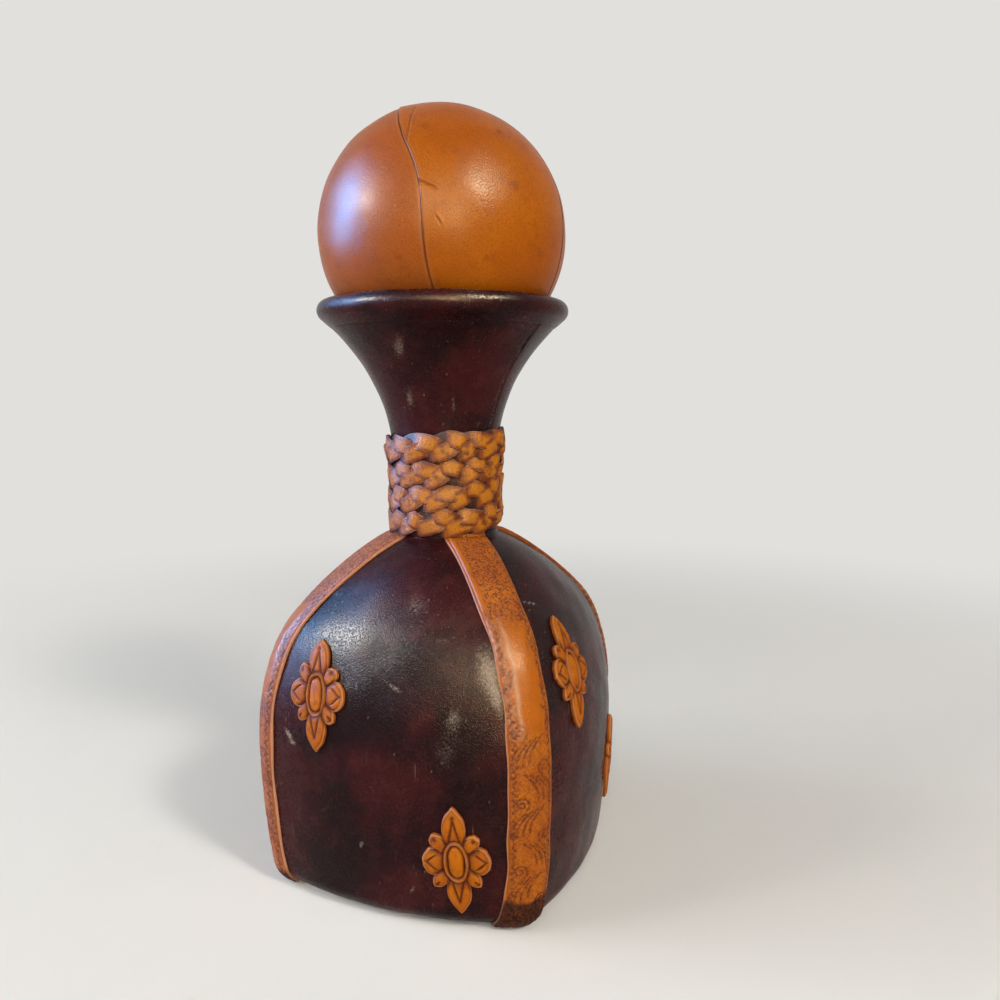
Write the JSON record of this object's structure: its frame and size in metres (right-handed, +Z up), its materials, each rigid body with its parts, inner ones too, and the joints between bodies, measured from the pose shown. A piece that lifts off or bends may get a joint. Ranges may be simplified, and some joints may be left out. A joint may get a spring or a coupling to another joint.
{
  "type": "leather-wrapped decanter",
  "caption": "Square glass decanter glued over with dark leather, with tan tooled corner straps and medallions, a plaited collar and a leather-covered ball stopper that lifts out.",
  "frame": {"origin": "centre of the base pad's underside, where the decanter stands", "axes": "+Z up through the neck and the stopper; -Y out of the front face, +X out of the right face"},
  "size_m": [0.1316, 0.1312, 0.2996],
  "materials": {
    "bottle_glass": "clear, faintly green",
    "base_leather": "matt",
    "dark_leather": "waxed and scuffed",
    "strap_leather": "tooled and antiqued",
    "medallion_leather": "tooled and antiqued",
    "plait_leather": "plaited, rubbed",
    "ball_leather": "polished",
    "turned_wood": "bare",
    "cork": "natural cork"
  },
  "bodies": {
    "bottle": {"glass_bottle": "bottle_glass", "base_pad": "base_leather", "neck_cover": "dark_leather", "lip_binding": "dark_leather", "body_panel_right": "dark_leather", "body_panel_back": "dark_leather", "body_panel_left": "dark_leather", "body_panel_front": "dark_leather", "corner_strap_1": "strap_leather", "corner_strap_2": "strap_leather", "corner_strap_3": "strap_leather", "corner_strap_4": "strap_leather", "medallion_right_upper": "medallion_leather", "medallion_right_lower": "medallion_leather", "medallion_back_upper": "medallion_leather", "medallion_back_lower": "medallion_leather", "medallion_left_upper": "medallion_leather", "medallion_left_lower": "medallion_leather", "medallion_front_upper": "medallion_leather", "medallion_front_lower": "medallion_leather", "plait_strand_1": "plait_leather", "plait_strand_2": "plait_leather", "plait_strand_3": "plait_leather"},
    "stopper": {"stopper_core": "turned_wood", "stopper_gore_1": "ball_leather", "stopper_gore_2": "ball_leather", "stopper_gore_3": "ball_leather", "stopper_gore_4": "ball_leather", "stopper_cork": "cork", "stopper_peg": "turned_wood"}
  },
  "joints": [
    {"name": "stopper_lift", "type": "slide", "parent": "bottle", "child": "stopper", "axis": [0, 0, 1], "range_m": [0, 0.085]}
  ]
}
